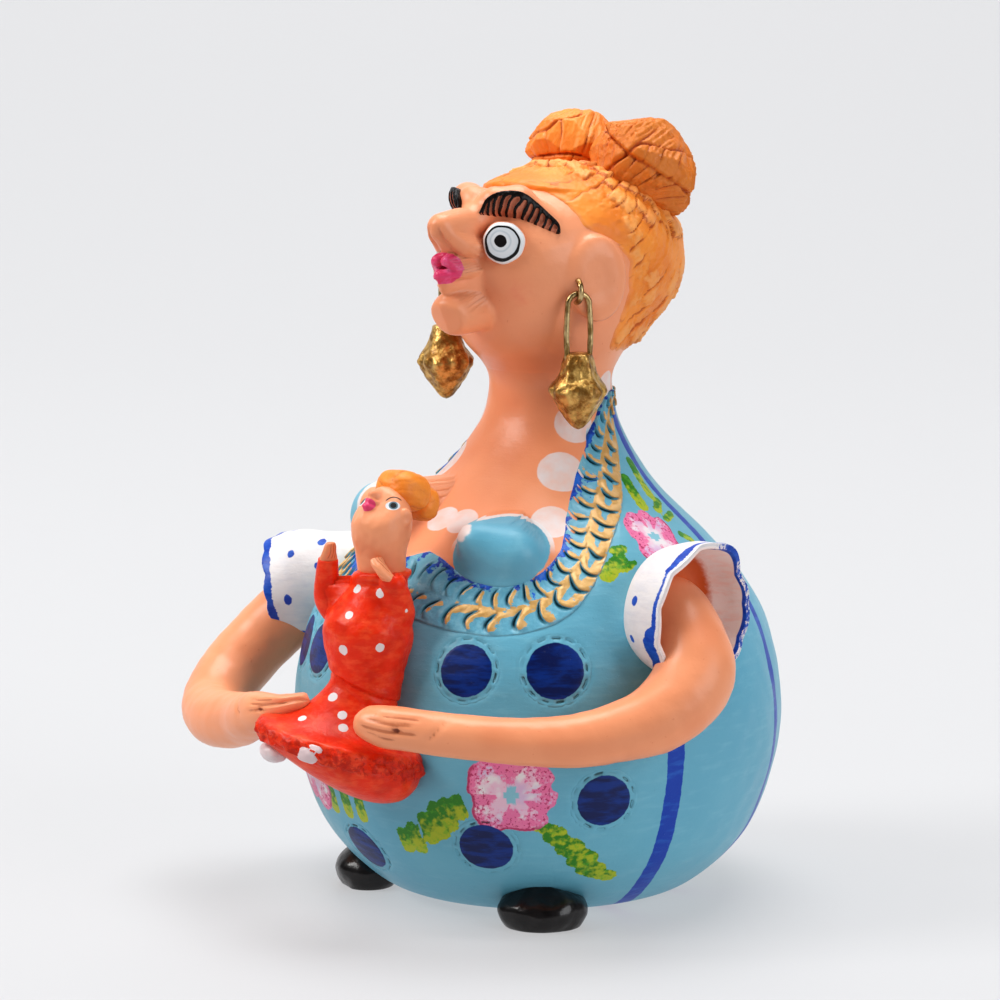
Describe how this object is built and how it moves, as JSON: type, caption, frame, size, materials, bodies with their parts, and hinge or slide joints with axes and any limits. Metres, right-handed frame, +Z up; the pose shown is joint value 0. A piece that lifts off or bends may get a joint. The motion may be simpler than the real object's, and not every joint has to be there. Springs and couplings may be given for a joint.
{
  "type": "ceramic folk figurine",
  "caption": "Painted clay figurine of a stout woman with a long neck and two hair buns, who holds a small girl against her round belly; wire and clay earrings.",
  "frame": {"origin": "centre of the flat underside, on the surface the figurine stands on", "axes": "+Z up; the woman faces -Y; her left side is +X"},
  "size_m": [0.1731, 0.1691, 0.2178],
  "materials": {
    "painted_clay": "painted, semi-gloss varnish",
    "wire": "dull brass wire",
    "gilt_clay": "gold paint on clay"
  },
  "bodies": {
    "root": {"figure": "painted_clay", "left_ear_hook": "wire", "left_earring_link": "wire", "left_earring_drop": "gilt_clay", "right_ear_hook": "wire", "right_earring_link": "wire", "right_earring_drop": "gilt_clay"}
  },
  "joints": []
}
